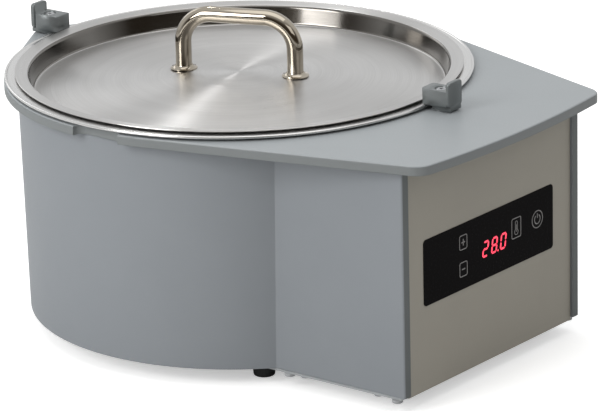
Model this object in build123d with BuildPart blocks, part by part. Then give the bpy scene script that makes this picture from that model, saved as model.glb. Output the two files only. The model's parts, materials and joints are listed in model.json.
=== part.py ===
from build123d import *
import os
from math import asin, cos, degrees, radians, sin, sqrt, tan

# A heated round bath: a moulded housing (drum with a control box in front of it), a top plate,
# a removable stainless pan under a sunken lid, two turn buttons, and the electrics inside.
# Millimetres. +Z is up, -Y is the control side, and z = 0 is the table under the feet.

# ---------------------------------------------------------------- driving dimensions
# heights above the table
base_underside = 12.5
base_thickness = 2.0
base_top = base_underside + base_thickness
shell_bottom = 15.0
plate_underside = 209.0
plate_top = 217.0

# plan sizes, measured from the vertical axis of the pan
drum_radius_top = 189.2
drum_radius_bottom = 186.3
shell_wall = 3.5
box_half_width_rear = 127.6
box_half_width_front = 121.0
box_rear = 100.0
box_front = 267.0
window_half_width = 112.8
ring_radius = 200.5
side_angle = 16.7
plate_corner_y = 289.0
plate_front = 297.5
plate_corner_radius = 16.0
well_hole_radius = 186.0

# clamps (turn buttons) and the tab that carries the rear one
clamp_skew = 2.5
clamp_pivot_radius = 209.0
tab_centre_radius = 207.0
tab_radius = 17.0

# pan, well and lid
sheet = 1.0
crown_spot = 3.0
pan_floor = 97.0
well_floor = 92.0
handle_skew = 21.3
handle_reach = 50.0
handle_radius = 7.0
handle_axis_top = 264.4
handle_bend = 26.0

# control panel
panel_face = 264.5
panel_sheet = 1.5
control_x = -2.0
control_z = 113.3
control_width = 178.0
control_height = 56.4

# the pan's axis stands behind the middle of the object's own box
rear_reach = tab_centre_radius * cos(radians(clamp_skew)) + tab_radius
pan_y = (plate_front - rear_reach) / 2

pan_axis = Axis((0, pan_y, 0), (0, 0, 1))
axial = Plane(origin=(0, pan_y, 0), x_dir=(1, 0, 0), z_dir=(0, -1, 0))


def level(height):
    """A horizontal plane at a height, centred on the pan's axis."""
    return Plane((0, pan_y, height))


def facing(depth):
    """A vertical plane that looks at the user, a depth in front of the pan's axis."""
    return Plane(origin=(0, pan_y - depth, 0), x_dir=(1, 0, 0), z_dir=(0, -1, 0))


def round_section(points, bends, thickness, crown=None):
    """Half section of a pressed round sheet, drawn along the middle of its thickness."""
    with BuildSketch(axial) as section:
        with BuildLine():
            pressed = FilletPolyline(*points, radius=bends)
            if crown:
                TangentArc(pressed @ 1, (crown_spot, crown), tangent=pressed % 1)
                Line((crown_spot, crown), (-crown_spot, crown))
            offset(amount=thickness / 2, side=Side.BOTH)
        make_face()
        Rectangle(2 * ring_radius, 4 * plate_top, align=(Align.MIN, Align.CENTER), mode=Mode.INTERSECT)
    return section.sketch


def housing_body(inset, bottom, top):
    """The drum and the control box as one solid, drawn in from the outside by an inset."""
    with BuildPart() as body:
        with BuildSketch(level(bottom)):
            Circle(drum_radius_bottom - inset)
        with BuildSketch(level(top)):
            Circle(drum_radius_top - inset)
        loft()
        with BuildSketch(level(bottom)):
            with BuildLine():
                Polyline(
                    (-box_half_width_rear + inset, -box_rear),
                    (-box_half_width_front + inset, -box_front + inset),
                    (box_half_width_front - inset, -box_front + inset),
                    (box_half_width_rear - inset, -box_rear),
                    close=True,
                )
            make_face()
        extrude(amount=top - bottom)
    return body.part


os.makedirs("parts", exist_ok=True)

# ---------------------------------------------------------------- housing
post_radius = 5.0
tie_hole_radius = 2.2
front_posts = [(-115.5, -236.0), (115.5, -236.0)]
middle_posts = [(-118.5, -162.0), (118.5, -162.0)]
rear_posts = [(-127.0, 127.0), (127.0, 127.0)]
rear_post_top = 60.0
lip_radius = 175.0
lip_start = 127.0
lip_thickness = 2.5
corner_round = 1.5
base_screw_radius = 1.8
base_screw_depth = 30.0
overcut = 1.0

wall_slope = (box_half_width_rear - box_half_width_front) / (box_front - box_rear)
inlet_y = -196.0
inlet_z = 46.0
inlet_cutout = (27.6, 20.0)
inlet_screw_spacing = 40.0
inlet_hole_radius = 1.7
inlet_x = box_half_width_front + wall_slope * (box_front + inlet_y)
inlet_plane = Plane(
    origin=(inlet_x, pan_y + inlet_y, inlet_z),
    x_dir=(wall_slope, 1, 0),
    z_dir=(1, -wall_slope, 0),
)

with BuildPart() as shell:
    add(housing_body(0, shell_bottom, plate_underside))
    fillet(shell.edges().filter_by(Axis.Z).group_by(Axis.Y)[0], corner_round)
    add(housing_body(shell_wall, shell_bottom - overcut, plate_underside + overcut), mode=Mode.SUBTRACT)
    with BuildSketch(level(base_top)):
        with Locations(*front_posts, *middle_posts):
            Circle(post_radius)
    extrude(amount=plate_underside - base_top)
    with BuildSketch(level(base_top)):
        with Locations(*rear_posts):
            Circle(post_radius)
    extrude(amount=rear_post_top - base_top)
    with BuildSketch(level(shell_bottom)):
        Circle(drum_radius_bottom - shell_wall / 2)
        Circle(lip_radius, mode=Mode.SUBTRACT)
        with Locations((0, -lip_start)):
            Rectangle(2 * drum_radius_bottom, 2 * drum_radius_bottom, align=(Align.CENTER, Align.MAX),
                      mode=Mode.SUBTRACT)
    extrude(amount=lip_thickness)
    with BuildSketch(level(base_underside)):
        with Locations(*front_posts, *middle_posts):
            Circle(tie_hole_radius)
    extrude(amount=plate_top - base_underside, mode=Mode.SUBTRACT)
    with BuildSketch(level(base_underside)):
        with Locations(*rear_posts):
            Circle(base_screw_radius)
    extrude(amount=base_screw_depth, mode=Mode.SUBTRACT)
    with BuildSketch(facing(box_front + overcut)):
        with Locations((0, (shell_bottom + plate_underside) / 2)):
            Rectangle(2 * window_half_width, plate_underside - shell_bottom + 2 * overcut)
    extrude(amount=-shell_wall - 2 * overcut, mode=Mode.SUBTRACT)
    with BuildSketch(inlet_plane):
        Rectangle(*inlet_cutout)
        with GridLocations(inlet_screw_spacing, 0, 2, 1):
            Circle(inlet_hole_radius)
    extrude(amount=-shell_wall - 2 * overcut, both=True, mode=Mode.SUBTRACT)
shell.part.label = "shell"
export_step(shell.part, "parts/shell.step")

# ---------------------------------------------------------------- top plate
tangent_x = ring_radius * cos(radians(side_angle))
tangent_y = -ring_radius * sin(radians(side_angle))
corner_x = tangent_x - (plate_corner_y + tangent_y) * tan(radians(side_angle))
tab_touch = degrees(asin(sqrt(1 - ((ring_radius - tab_radius) / tab_centre_radius) ** 2)))
tab_heading = 90 + clamp_skew
clamp_headings = {"rear": tab_heading, "front": tab_heading + 180}


def around(radius, heading):
    """A point at a radius and a compass heading about the pan's axis."""
    return (radius * cos(radians(heading)), radius * sin(radians(heading)))


notch_y = -12.0
notch_length = 46.0
notch_bottom_x = 191.5
notch_depth = 20.0
notch_corner = 8.0
plate_rim_round = 1.5
screw_radius = 2.5
tie_screw_radius = 2.0
tie_screw_bite = 5.0

with BuildPart() as top_plate:
    with BuildSketch(level(plate_underside)) as outline:
        with BuildLine():
            Line((tangent_x, tangent_y), (corner_x, -plate_corner_y))
            ThreePointArc((corner_x, -plate_corner_y), (0, -plate_front), (-corner_x, -plate_corner_y))
            Line((-corner_x, -plate_corner_y), (-tangent_x, tangent_y))
            Line((-tangent_x, tangent_y), (tangent_x, tangent_y))
        make_face()
        fillet(outline.vertices().group_by(Axis.Y)[0], plate_corner_radius)
        Circle(ring_radius)
        with BuildLine():
            tip = around(tab_centre_radius, tab_heading)
            left_arm = around(tab_radius, tab_heading + tab_touch)
            right_arm = around(tab_radius, tab_heading - tab_touch)
            Polyline(
                around(ring_radius, tab_heading + tab_touch),
                (tip[0] + left_arm[0], tip[1] + left_arm[1]),
                (tip[0] + right_arm[0], tip[1] + right_arm[1]),
                around(ring_radius, tab_heading - tab_touch),
                close=True,
            )
        make_face()
        with Locations(tip):
            Circle(tab_radius)
        Circle(well_hole_radius, mode=Mode.SUBTRACT)
        notch_x = notch_bottom_x + notch_depth / 2
        with Locations((notch_x, notch_y), (-notch_x, notch_y)):
            RectangleRounded(notch_depth, notch_length, notch_corner, mode=Mode.SUBTRACT)
    extrude(amount=plate_top - plate_underside)
    upper_face = top_plate.faces().sort_by(Axis.Z)[-1]
    fillet(upper_face.outer_wire().edges(), plate_rim_round)
    with Locations(*[level(plate_top) * Pos(*around(clamp_pivot_radius, heading), 0)
                     for heading in clamp_headings.values()]):
        Hole(screw_radius)
    with Locations(*[level(plate_underside) * Pos(x, y, 0) * Rot(180, 0, 0)
                     for x, y in front_posts + middle_posts]):
        Hole(tie_screw_radius, depth=tie_screw_bite + overcut)
top_plate.part.label = "top_plate"
export_step(top_plate.part, "parts/top_plate.step")

# ---------------------------------------------------------------- pan, well and gasket
well_sheet = 0.8
well_rim_radius = 190.0
well_mouth_radius = 183.2
well_floor_radius = 178.0
well_rim_middle = plate_top + well_sheet / 2

with BuildPart() as well:
    add(round_section([(well_rim_radius, well_rim_middle), (well_mouth_radius, well_rim_middle),
                       (well_floor_radius, well_floor), (0, well_floor)], [2, 12], well_sheet))
    revolve(axis=pan_axis)
well.part.label = "well"
export_step(well.part, "parts/well.step")

gasket_width = 5.0
gasket_thickness = 1.5
with BuildPart() as gasket:
    with BuildSketch(level(plate_top + well_sheet)):
        Circle(well_rim_radius)
        Circle(well_rim_radius - gasket_width, mode=Mode.SUBTRACT)
    extrude(amount=gasket_thickness)
gasket.part.label = "pan_gasket"
export_step(gasket.part, "parts/pan_gasket.step")

pan_sheet = 1.2
pan_bead = 1.3
pan_rim_radius = 200.0
pan_mouth_radius = 180.8
pan_floor_radius = 175.0
pan_flange_middle = plate_top + well_sheet + gasket_thickness + pan_sheet / 2
with BuildPart() as pan:
    add(round_section([(pan_rim_radius - pan_bead, pan_flange_middle), (pan_mouth_radius, pan_flange_middle),
                       (pan_floor_radius, pan_floor), (0, pan_floor)], [3, 15], pan_sheet))
    with BuildSketch(axial):
        with Locations((pan_rim_radius - pan_bead, pan_flange_middle)):
            Circle(pan_bead)
    revolve(axis=pan_axis)
pan.part.label = "pan"
export_step(pan.part, "parts/pan.step")

# ---------------------------------------------------------------- lid and its handle
dome_radius = 166.0
dome_edge = 205.76
dome_slope = 0.1125
lid_crown = dome_edge + dome_radius * dome_slope / 2
channel_radius = 176.3
lid_mouth_radius = 179.8
lid_mouth_height = 221.4
lid_rim_radius = 191.1
lid_rim_height = 222.6
lid_bend = 3.0
channel_floor = dome_edge - (channel_radius - dome_radius) * dome_slope
with BuildPart() as lid:
    add(round_section([(lid_rim_radius, lid_rim_height), (lid_mouth_radius, lid_mouth_height),
                       (channel_radius, channel_floor), (dome_radius, dome_edge)],
                      lid_bend, sheet, lid_crown))
    revolve(axis=pan_axis)
lid.part.label = "lid"
export_step(lid.part, "parts/lid.step")

handle_foot = 215.1
handle_wall = 1.5
collar_radius = 11.6
collar_height = 3.4
collar_lip = 0.6
collar_neck = 0.6
collar_waist = 3.0
collar_waist_height = 1.3
handle_plane = Plane(
    origin=(0, pan_y, 0),
    x_dir=(sin(radians(handle_skew)), -cos(radians(handle_skew)), 0),
    z_dir=(-cos(radians(handle_skew)), -sin(radians(handle_skew)), 0),
)
with BuildPart() as handle:
    with BuildLine(handle_plane) as bar_path:
        FilletPolyline(
            (-handle_reach, handle_foot),
            (-handle_reach, handle_axis_top),
            (handle_reach, handle_axis_top),
            (handle_reach, handle_foot),
            radius=handle_bend,
        )
    with BuildSketch(Plane(origin=bar_path.line @ 0, z_dir=bar_path.line % 0)):
        Circle(handle_radius)
        Circle(handle_radius - handle_wall, mode=Mode.SUBTRACT)
    sweep()
handle.part.label = "handle"
export_step(handle.part, "parts/handle.step")

for index, side in enumerate((-1, 1)):
    foot_x = side * handle_reach * sin(radians(handle_skew))
    foot_y = -side * handle_reach * cos(radians(handle_skew))
    foot_axis = Axis((foot_x, pan_y + foot_y, 0), (0, 0, 1))
    with BuildPart() as collar:
        with BuildSketch(Plane(origin=(foot_x, pan_y + foot_y, 0), x_dir=(1, 0, 0), z_dir=(0, -1, 0))):
            with BuildLine():
                base = Line((handle_radius, handle_foot), (collar_radius, handle_foot))
                edge = Line(base @ 1, (collar_radius, handle_foot + collar_lip))
                waist = (collar_radius - collar_waist, handle_foot + collar_waist_height)
                flare = ThreePointArc(edge @ 1, waist, (handle_radius + collar_neck, handle_foot + collar_height))
                neck = Line(flare @ 1, (handle_radius, handle_foot + collar_height))
                Line(neck @ 1, base @ 0)
            make_face()
        revolve(axis=foot_axis)
    collar.part.label = f"handle_collar_{index + 1}"
    export_step(collar.part, f"parts/handle_collar_{index + 1}.step")

# ---------------------------------------------------------------- turn buttons
washer_thickness = 1.2
button_underside = 1.3
nose_underside = 4.5
button_top = 18.0
flag_top = 26.0
button_width = 18.0
nose_reach = 14.5
tail_reach = 14.0
flag_thickness = 3.3
head_seat = 14.8
boss_radius = 8.0
back_reach = 10.7
button_round = 3.0
head_pocket_radius = 5.6
head_radius = 4.8
head_height = 2.7
head_round = 1.2
socket_radius = 1.7
socket_depth = 1.8
running_gap = 0.1
washer_radius = 6.0

clamp_screws = []
clamp_washers = []
for place, heading in clamp_headings.items():
    pivot_x, pivot_y = around(clamp_pivot_radius, heading)
    inward = around(-1, heading)
    pivot = Plane(
        origin=(pivot_x, pan_y + pivot_y, plate_top),
        x_dir=(inward[1], -inward[0], 0),
        z_dir=(0, 0, 1),
    )
    with BuildPart() as button:
        with BuildSketch(pivot.offset(button_underside)):
            Circle(boss_radius)
            with Locations((0, -tail_reach / 2)):
                Rectangle(2 * boss_radius, tail_reach)
        extrude(amount=nose_underside - button_underside)
        with BuildSketch(pivot.offset(nose_underside)) as upper:
            with Locations((0, (nose_reach - back_reach) / 2)):
                Rectangle(button_width, nose_reach + back_reach)
            fillet(upper.vertices().group_by(Axis.Z)[0].sort_by(
                lambda corner: (corner.center() - pivot.origin).length)[-2:], button_round)
        extrude(amount=button_top - nose_underside)
        back = Plane(origin=pivot.origin, x_dir=pivot.x_dir, z_dir=-pivot.y_dir)
        with BuildSketch(back.offset(back_reach)) as flag:
            with Locations((0, (nose_underside + flag_top) / 2)):
                Rectangle(button_width, flag_top - nose_underside)
            fillet(flag.vertices().group_by(Axis.Z)[-1], button_round)
        extrude(amount=flag_thickness)
        with Locations(pivot.offset(button_top)):
            CounterBoreHole(screw_radius + running_gap / 2, head_pocket_radius, button_top - head_seat)
    button.part.label = f"clamp_{place}"
    export_step(button.part, f"parts/clamp_{place}.step")

    with BuildPart() as screw:
        with BuildSketch(pivot.offset(plate_underside - plate_top)):
            Circle(screw_radius)
        extrude(amount=head_seat + running_gap + plate_top - plate_underside)
        with BuildSketch(pivot.offset(head_seat + running_gap)):
            Circle(head_radius)
        extrude(amount=head_height)
        fillet(screw.edges().group_by(Axis.Z)[-1], head_round)
        with BuildSketch(pivot.offset(head_seat + running_gap + head_height)):
            RegularPolygon(socket_radius, 6)
        extrude(amount=-socket_depth, mode=Mode.SUBTRACT)
    clamp_screws.append(screw.part)

    with BuildPart() as washer:
        with BuildSketch(pivot):
            Circle(washer_radius)
            Circle(screw_radius + running_gap, mode=Mode.SUBTRACT)
        extrude(amount=washer_thickness)
    clamp_washers.append(washer.part)

clamp_screw_set = Compound(children=clamp_screws)
clamp_screw_set.label = "clamp_screws"
export_step(clamp_screw_set, "parts/clamp_screws.step")
clamp_washer_set = Compound(children=clamp_washers)
clamp_washer_set.label = "clamp_washers"
export_step(clamp_washer_set, "parts/clamp_washers.step")

# ---------------------------------------------------------------- base plate, feet and their screws
base_drum_radius = 178.0
foot_spacing = 226.0
foot_radius = 10.0
foot_taper = 1.0
foot_round = 1.5
foot_pocket_radius = 4.5
foot_pocket_depth = 5.0
foot_screw_radius = 2.0
foot_head_radius = 4.0
foot_head_height = 2.6
foot_screw_length = 16.0
nut_radius = 4.0
nut_height = 3.2
foot_locations = {
    "front_left": (-foot_spacing / 2, -foot_spacing / 2),
    "front_right": (foot_spacing / 2, -foot_spacing / 2),
    "rear_left": (-foot_spacing / 2, foot_spacing / 2),
    "rear_right": (foot_spacing / 2, foot_spacing / 2),
}
pillar_spacing = 184.0
pillar_radius = 4.5
stud_hole_radius = 2.1
vent_pitch = 14.0
vent_count = 9
vent_size = (70.0, 5.0)
base_box_rear = 128.0
base_box_front = 262.5
base_inset_rear = 1.6
base_inset_front = 1.0

with BuildPart() as base_plate:
    with BuildSketch(level(base_underside)) as base_outline:
        Circle(base_drum_radius)
        with BuildLine():
            Polyline(
                (-box_half_width_rear + base_inset_rear, -base_box_rear),
                (-box_half_width_front + base_inset_front, -base_box_front),
                (box_half_width_front - base_inset_front, -base_box_front),
                (box_half_width_rear - base_inset_rear, -base_box_rear),
                close=True,
            )
        make_face()
        with Locations(*front_posts, *middle_posts):
            Circle(tie_hole_radius, mode=Mode.SUBTRACT)
        with Locations(*rear_posts):
            Circle(base_screw_radius, mode=Mode.SUBTRACT)
        with Locations(*foot_locations.values()):
            Circle(stud_hole_radius, mode=Mode.SUBTRACT)
        with GridLocations(pillar_spacing, pillar_spacing, 2, 2):
            Circle(stud_hole_radius, mode=Mode.SUBTRACT)
        with GridLocations(0, vent_pitch, 1, vent_count):
            SlotOverall(*vent_size, mode=Mode.SUBTRACT)
    extrude(amount=base_thickness)
base_plate.part.label = "base_plate"
export_step(base_plate.part, "parts/base_plate.step")

foot_screws = []
for place, (x, y) in foot_locations.items():
    with BuildPart() as foot:
        with BuildSketch(level(0) * Pos(x, y, 0)):
            Circle(foot_radius - foot_taper)
        with BuildSketch(level(base_underside) * Pos(x, y, 0)):
            Circle(foot_radius)
        loft()
        fillet(foot.edges().group_by(Axis.Z)[0], foot_round)
        with Locations(level(0) * Pos(x, y, 0) * Rot(180, 0, 0)):
            CounterBoreHole(stud_hole_radius, foot_pocket_radius, foot_pocket_depth)
    foot.part.label = f"foot_{place}"
    export_step(foot.part, f"parts/foot_{place}.step")

    with BuildPart() as screw:
        with BuildSketch(level(foot_pocket_depth - foot_head_height) * Pos(x, y, 0)):
            Circle(foot_head_radius)
        extrude(amount=foot_head_height)
        with BuildSketch(level(foot_pocket_depth) * Pos(x, y, 0)):
            Circle(foot_screw_radius)
        extrude(amount=foot_screw_length)
        with BuildSketch(level(base_top) * Pos(x, y, 0)):
            RegularPolygon(nut_radius, 6)
        extrude(amount=nut_height)
    foot_screws.append(screw.part)
foot_screw_set = Compound(children=foot_screws)
foot_screw_set.label = "foot_screws"
export_step(foot_screw_set, "parts/foot_screws.step")

pads = [(-118.0, -257.0), (118.0, -257.0), (-122.0, -148.0), (122.0, -148.0)]
pad_radius = 4.5
pad_height = 3.0
pad_round = 0.8
with BuildPart() as corner_pads:
    with BuildSketch(level(base_underside)):
        with Locations(*pads):
            Circle(pad_radius)
    extrude(amount=-pad_height)
    fillet(corner_pads.edges().group_by(Axis.Z)[0], pad_round)
corner_pads.part.label = "corner_pads"
export_step(corner_pads.part, "parts/corner_pads.step")

tie_head_radius = 4.0
tie_head_height = 2.4
tie_head_round = 1.0
with BuildPart() as tie_screws:
    with BuildSketch(level(base_underside - tie_head_height)):
        with Locations(*front_posts, *middle_posts):
            Circle(tie_head_radius)
    extrude(amount=tie_head_height)
    fillet(tie_screws.edges().group_by(Axis.Z)[0], tie_head_round)
    with BuildSketch(level(base_underside)):
        with Locations(*front_posts, *middle_posts):
            Circle(tie_screw_radius)
    extrude(amount=plate_underside + tie_screw_bite - base_underside)
tie_screws.part.label = "tie_screws"
export_step(tie_screws.part, "parts/tie_screws.step")

base_head_radius = 3.5
base_head_height = 2.2
base_head_round = 0.9
base_screw_length = 14.0
with BuildPart() as base_screws:
    with BuildSketch(level(base_underside - base_head_height)):
        with Locations(*rear_posts):
            Circle(base_head_radius)
    extrude(amount=base_head_height)
    fillet(base_screws.edges().group_by(Axis.Z)[0], base_head_round)
    with BuildSketch(level(base_underside)):
        with Locations(*rear_posts):
            Circle(base_screw_radius)
    extrude(amount=base_screw_length)
base_screws.part.label = "base_screws"
export_step(base_screws.part, "parts/base_screws.step")

# ---------------------------------------------------------------- heating pack under the well
well_underside = well_floor - well_sheet / 2
heater_radius = 158.0
pack_radius = 162.0
probe_opening = 14.0
backing_opening = 12.0
heater_thickness = 2.5
insulation_thickness = 12.0
backing_thickness = 1.2
heater_underside = well_underside - heater_thickness
insulation_underside = heater_underside - insulation_thickness
backing_underside = insulation_underside - backing_thickness

with BuildPart() as heater_mat:
    with BuildSketch(level(heater_underside)):
        Circle(heater_radius)
        Circle(probe_opening, mode=Mode.SUBTRACT)
    extrude(amount=heater_thickness)
heater_mat.part.label = "heater_mat"
export_step(heater_mat.part, "parts/heater_mat.step")

with BuildPart() as insulation:
    with BuildSketch(level(insulation_underside)):
        Circle(pack_radius)
        Circle(probe_opening, mode=Mode.SUBTRACT)
    extrude(amount=insulation_thickness)
insulation.part.label = "insulation"
export_step(insulation.part, "parts/insulation.step")

with BuildPart() as backing_plate:
    with BuildSketch(level(backing_underside)):
        Circle(pack_radius)
        Circle(backing_opening, mode=Mode.SUBTRACT)
    extrude(amount=backing_thickness)
backing_plate.part.label = "backing_plate"
export_step(backing_plate.part, "parts/backing_plate.step")

with BuildPart() as pillars:
    with BuildSketch(level(base_top)):
        with GridLocations(pillar_spacing, pillar_spacing, 2, 2):
            RegularPolygon(pillar_radius, 6)
    extrude(amount=backing_underside - base_underside - base_thickness)
pillars.part.label = "heater_pillars"
export_step(pillars.part, "parts/heater_pillars.step")

probe_disc_radius = 6.0
probe_stem_radius = 3.0
probe_stem_length = 24.0
with BuildPart() as probe:
    with BuildSketch(level(well_underside)):
        Circle(probe_disc_radius)
    extrude(amount=-heater_thickness)
    with BuildSketch(level(heater_underside)):
        Circle(probe_stem_radius)
    extrude(amount=-probe_stem_length)
probe.part.label = "temperature_probe"
export_step(probe.part, "parts/temperature_probe.step")

spring_radius = 5.0
spring_wire = 1.6
spring_length = 11.0
with BuildPart() as probe_spring:
    with BuildSketch(level(heater_underside - spring_length)):
        Circle(spring_radius)
        Circle(spring_radius - spring_wire, mode=Mode.SUBTRACT)
    extrude(amount=spring_length)
probe_spring.part.label = "probe_spring"
export_step(probe_spring.part, "parts/probe_spring.step")

cutout_place = (60.0, -60.0)
cutout_radius = 8.5
cutout_height = 7.0
cutout_ears = (32.0, 14.0)
blade_spacing = 10.0
blade_size = (1.0, 6.3)
blade_length = 9.0
with BuildPart() as cutout:
    with BuildSketch(level(backing_underside) * Pos(*cutout_place, 0)):
        Circle(cutout_radius)
    extrude(amount=-cutout_height)
    with BuildSketch(level(backing_underside - cutout_height) * Pos(*cutout_place, 0)):
        with GridLocations(blade_spacing, 0, 2, 1):
            Rectangle(*blade_size)
    extrude(amount=-blade_length)
    with BuildSketch(level(backing_underside) * Pos(*cutout_place, 0)):
        RectangleRounded(*cutout_ears, 3)
    extrude(amount=-1)
cutout.part.label = "thermal_cutout"
export_step(cutout.part, "parts/thermal_cutout.step")

# ---------------------------------------------------------------- front panel
panel_half_width = window_half_width - 0.3
panel_flange = 15.0
overlay_gap = 0.2
overlay_corner = 3.3
panel_back = panel_face - panel_sheet

with BuildPart() as front_panel:
    with BuildSketch(facing(panel_face)):
        with Locations((0, (base_underside + plate_underside) / 2)):
            Rectangle(2 * panel_half_width, plate_underside - base_underside)
    extrude(amount=-panel_sheet)
    with BuildSketch(level(shell_bottom)):
        with Locations((-panel_half_width + panel_sheet / 2, -panel_back + panel_flange / 2),
                       (panel_half_width - panel_sheet / 2, -panel_back + panel_flange / 2)):
            Rectangle(panel_sheet, panel_flange)
    extrude(amount=plate_underside - shell_bottom)
    with BuildSketch(facing(panel_face)):
        with Locations((control_x, control_z)):
            RectangleRounded(control_width + 2 * overlay_gap, control_height + 2 * overlay_gap,
                             overlay_corner + overlay_gap)
    extrude(amount=-panel_sheet, mode=Mode.SUBTRACT)
front_panel.part.label = "front_panel"
export_step(front_panel.part, "parts/front_panel.step")

# ---------------------------------------------------------------- control unit
overlay_face = 265.0
overlay_thickness = 3.0
overlay_back = overlay_face - overlay_thickness
key_lip_face = overlay_back - 0.1
key_gap = 0.3
key_corner = 2.0
key_sizes = {
    "plus": (-38.0, 125.6, 11.5, 13.5),
    "minus": (-38.0, 102.4, 11.5, 13.5),
    "mode": (35.1, 117.3, 13.8, 18.4),
}
power_key = (64.7, 116.4, 8.2)
display_centre = (5.0, 111.5)
display_size = (40.0, 19.0)
key_lip = 1.2
key_lip_thickness = 1.0
nub_radius = 1.5
nub_end = 259.6
board_face = 256.6
board_thickness = 1.6
switch_face = 258.9
board_back = board_face - board_thickness
control_board_size = (172.0, 50.0)
control_board_holes = (162.0, 42.0)
board_hole_radius = 1.6
switch_body = 6.0
switch_height = 1.7
switch_plunger = 1.7
board_screw_radius = 1.5
board_head_radius = 2.6
board_head_height = 1.8
key_centres = [size[:2] for size in key_sizes.values()] + [power_key[:2]]

with BuildPart() as overlay:
    with BuildSketch(facing(overlay_face)):
        with Locations((control_x, control_z)):
            RectangleRounded(control_width, control_height, overlay_corner)
        for x, z, width, height in key_sizes.values():
            with Locations((x, z)):
                RectangleRounded(width + 2 * key_gap, height + 2 * key_gap, key_corner + key_gap,
                                 mode=Mode.SUBTRACT)
        with Locations(power_key[:2]):
            Circle(power_key[2] + key_gap, mode=Mode.SUBTRACT)
    extrude(amount=-overlay_thickness)
overlay.part.label = "control_overlay"
export_step(overlay.part, "parts/control_overlay.step")

for name, (x, z, width, height) in key_sizes.items():
    with BuildPart() as key:
        with BuildSketch(facing(overlay_face)):
            with Locations((x, z)):
                RectangleRounded(width, height, key_corner)
        extrude(amount=key_lip_face - overlay_face)
        with BuildSketch(facing(key_lip_face)):
            with Locations((x, z)):
                RectangleRounded(width + 2 * key_lip, height + 2 * key_lip, key_corner)
        extrude(amount=-key_lip_thickness)
        with BuildSketch(facing(key_lip_face - key_lip_thickness)):
            with Locations((x, z)):
                Circle(nub_radius)
        extrude(amount=nub_end - key_lip_face + key_lip_thickness)
    key.part.label = f"key_{name}"
    export_step(key.part, f"parts/key_{name}.step")

with BuildPart() as key_power:
    with BuildSketch(facing(overlay_face)):
        with Locations(power_key[:2]):
            Circle(power_key[2])
    extrude(amount=key_lip_face - overlay_face)
    with BuildSketch(facing(key_lip_face)):
        with Locations(power_key[:2]):
            Circle(power_key[2] + key_lip)
    extrude(amount=-key_lip_thickness)
    with BuildSketch(facing(key_lip_face - key_lip_thickness)):
        with Locations(power_key[:2]):
            Circle(nub_radius)
    extrude(amount=nub_end - key_lip_face + key_lip_thickness)
key_power.part.label = "key_power"
export_step(key_power.part, "parts/key_power.step")

with BuildPart() as control_board:
    with BuildSketch(facing(board_face)):
        with Locations((control_x, control_z)):
            Rectangle(*control_board_size)
            with GridLocations(*control_board_holes, 2, 2):
                Circle(board_hole_radius, mode=Mode.SUBTRACT)
    extrude(amount=-board_thickness)
control_board.part.label = "control_board"
export_step(control_board.part, "parts/control_board.step")

with BuildPart() as switches:
    with BuildSketch(facing(board_face)):
        with Locations(*key_centres):
            Rectangle(switch_body, switch_body)
    extrude(amount=switch_height)
    with BuildSketch(facing(board_face + switch_height)):
        with Locations(*key_centres):
            Circle(switch_plunger)
    extrude(amount=switch_face - board_face - switch_height)
switches.part.label = "key_switches"
export_step(switches.part, "parts/key_switches.step")

with BuildPart() as display:
    with BuildSketch(facing(board_face)):
        with Locations(display_centre):
            Rectangle(*display_size)
    extrude(amount=overlay_back - overlay_gap - board_face)
display.part.label = "display"
export_step(display.part, "parts/display.step")

frame_depth = 17.0
frame_wall = 2.0
frame_margin = 10.0
frame_corner = 4.0
frame_opening = (40.0, 16.0)
frame_post_radius = 3.0
frame_size = (control_width + frame_margin, control_height + frame_margin)
with BuildPart() as control_frame:
    with BuildSketch(facing(panel_back)):
        with Locations((control_x, control_z)):
            RectangleRounded(*frame_size, frame_corner)
            RectangleRounded(frame_size[0] - 2 * frame_wall, frame_size[1] - 2 * frame_wall,
                             frame_corner - 1, mode=Mode.SUBTRACT)
    extrude(amount=-frame_depth)
    with BuildSketch(facing(panel_back - frame_depth)):
        with Locations((control_x, control_z)):
            RectangleRounded(*frame_size, frame_corner)
            Rectangle(*frame_opening, mode=Mode.SUBTRACT)
    extrude(amount=-frame_wall)
    with BuildSketch(facing(board_back)):
        with Locations((control_x, control_z)):
            with GridLocations(*control_board_holes, 2, 2):
                Circle(frame_post_radius)
    extrude(amount=-(board_back - panel_back + frame_depth))
control_frame.part.label = "control_frame"
export_step(control_frame.part, "parts/control_frame.step")

with BuildPart() as board_screws:
    with BuildSketch(facing(board_face)):
        with Locations((control_x, control_z)):
            with GridLocations(*control_board_holes, 2, 2):
                Circle(board_head_radius)
    extrude(amount=board_head_height)
    with BuildSketch(facing(board_face)):
        with Locations((control_x, control_z)):
            with GridLocations(*control_board_holes, 2, 2):
                Circle(board_screw_radius)
    extrude(amount=-board_thickness)
board_screws.part.label = "board_screws"
export_step(board_screws.part, "parts/board_screws.step")

# ---------------------------------------------------------------- power electronics in the box
board_height = 26.0
board_top = board_height + board_thickness
board_spacing = (140.0, 46.0)
board_y = -222.0
power_board_size = (152.0, 58.0)
standoff_radius = 3.2
transformer_x = -42.0
core_size = (44.0, 16.0, 36.0)
winding_size = (30.0, 34.0, 24.0)
winding_lift = 6.0
relay_place = (0.0, board_y - 10.0)
relay_size = (19.0, 15.5, 15.5)
can_y = board_y + 12.0
can_places = [(-8.0, can_y), (6.0, can_y)]
can_radius = 5.0
can_height = 16.0
sink_x = 30.0
sink_back = (24.0, 3.0)
fin_size = (1.4, 14.0)
fin_pitch = 4.2
fin_count = 5
sink_height = 30.0
triac_size = (10.0, 4.4, 15.0)
triac_lift = 4.0
terminal_place = (58.0, board_y + 2.0)
terminal_size = (12.0, 36.0, 14.0)
terminal_chamfer = 4.0

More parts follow.
